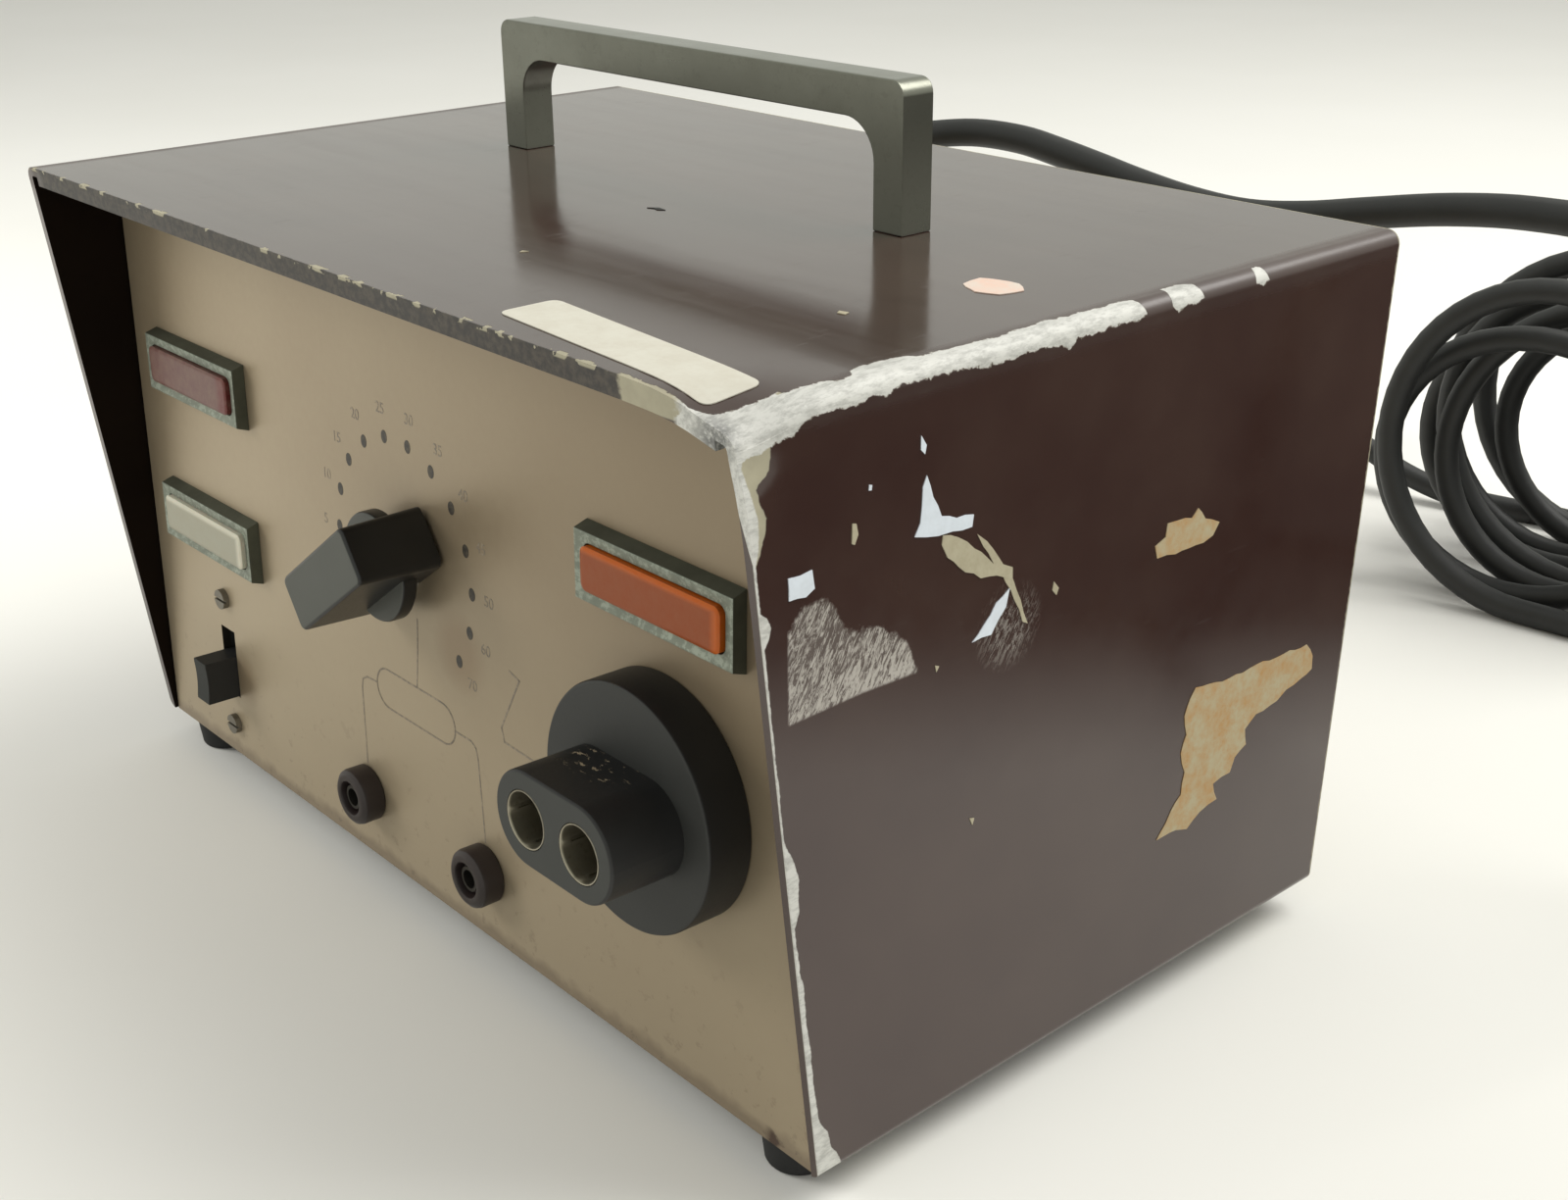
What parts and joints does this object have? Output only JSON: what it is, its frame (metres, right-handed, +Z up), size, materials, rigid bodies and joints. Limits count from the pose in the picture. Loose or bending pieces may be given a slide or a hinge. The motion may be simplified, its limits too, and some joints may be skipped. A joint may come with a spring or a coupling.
{
  "type": "electrosurgical coagulator",
  "caption": "Table-top electrosurgical coagulator: folded metal case, leaning panel with bar knob, lamps, slide switch, jacks and output connector, handle, coiled mains cord.",
  "frame": {"origin": "centre of the footprint's bounding box, at the level of the feet's soles, without the cord", "axes": "+Z up, -Y out of the front panel, +X to the right as seen from the front"},
  "size_m": [0.4015, 0.4234, 0.1756],
  "materials": {
    "cover_paint": "old dark maroon-brown gloss enamel",
    "panel_paint": "champagne-beige enamel, worn",
    "pan_paint": "beige enamel on steel",
    "fastener_steel": "zinc-plated steel",
    "foot_rubber": "black rubber",
    "handle_aluminium": "satin aluminium, tarnished",
    "black_plastic": "satin black phenolic",
    "switch_plastic": "black plastic",
    "jack_plastic": "dark maroon-brown plastic",
    "bezel_metal": "worn nickel plate",
    "amber_plastic": "amber-orange translucent plastic",
    "red_plastic": "red translucent plastic",
    "white_plastic": "white translucent plastic",
    "bulb_glass": "clear glass",
    "contact_metal": "nickelled brass, worn",
    "board_laminate": "brown laminate",
    "coil_wire": "enamelled copper wire",
    "capacitor_sleeve": "blue sleeve",
    "relay_cover": "yellowed clear plastic",
    "sink_aluminium": "black anodised aluminium",
    "can_steel": "plated steel can",
    "core_steel": "varnished laminations",
    "winding_tape": "yellow-brown winding tape",
    "fuse_glass": "clear glass",
    "cord_rubber": "black rubber"
  },
  "bodies": {
    "case": {"cover": "cover_paint", "front_panel": "panel_paint", "chassis": "pan_paint", "panel_screws": "fastener_steel", "foot_front_left": "foot_rubber", "foot_front_right": "foot_rubber", "foot_rear_left": "foot_rubber", "foot_rear_right": "foot_rubber", "foot_screws": "fastener_steel", "foot_nuts": "fastener_steel", "handle": "handle_aluminium", "handle_screws": "fastener_steel", "handle_washers": "fastener_steel", "dial_pot": "can_steel", "dial_nut": "fastener_steel", "amber_bezel": "bezel_metal", "red_bezel": "bezel_metal", "white_bezel": "bezel_metal", "amber_lens": "amber_plastic", "red_lens": "red_plastic", "white_lens": "white_plastic", "lamp_holders": "switch_plastic", "lamp_bulbs": "bulb_glass", "lamp_clips": "fastener_steel", "jack_left": "jack_plastic", "jack_right": "jack_plastic", "jack_sleeve_left": "contact_metal", "jack_sleeve_right": "contact_metal", "jack_nuts": "fastener_steel", "connector_body": "black_plastic", "contact_left": "contact_metal", "contact_right": "contact_metal", "connector_nut": "fastener_steel", "switch_body": "switch_plastic", "switch_fixings": "fastener_steel", "circuit_board": "board_laminate", "board_standoffs": "fastener_steel", "board_screws": "fastener_steel", "output_coil": "coil_wire", "capacitors": "capacitor_sleeve", "relay": "relay_cover", "heat_sink": "sink_aluminium", "power_transistor": "can_steel", "transformer_core": "core_steel", "transformer_winding": "winding_tape", "transformer_frame": "can_steel", "transformer_screws": "fastener_steel", "fuse_holder": "switch_plastic", "fuse_cap": "switch_plastic", "fuse": "fuse_glass", "strain_relief": "cord_rubber", "cord_lead": "cord_rubber", "cord_coil": "cord_rubber", "cord_tail": "cord_rubber", "plug": "cord_rubber", "plug_blades": "contact_metal"},
    "dial": {"knob": "black_plastic", "knob_screw": "fastener_steel", "dial_shaft": "fastener_steel"},
    "slider": {"switch_slider": "switch_plastic"}
  },
  "joints": [
    {"name": "dial_turn", "type": "hinge", "parent": "case", "child": "dial", "pos_m": [-0.003, -0.0705, 0.08326], "axis": [0, -0.9996, 0.029], "range_deg": [-81, 189]},
    {"name": "power_slide", "type": "slide", "parent": "case", "child": "slider", "axis": [0, 0.029, 0.9996], "range_m": [0, 0.006]}
  ]
}
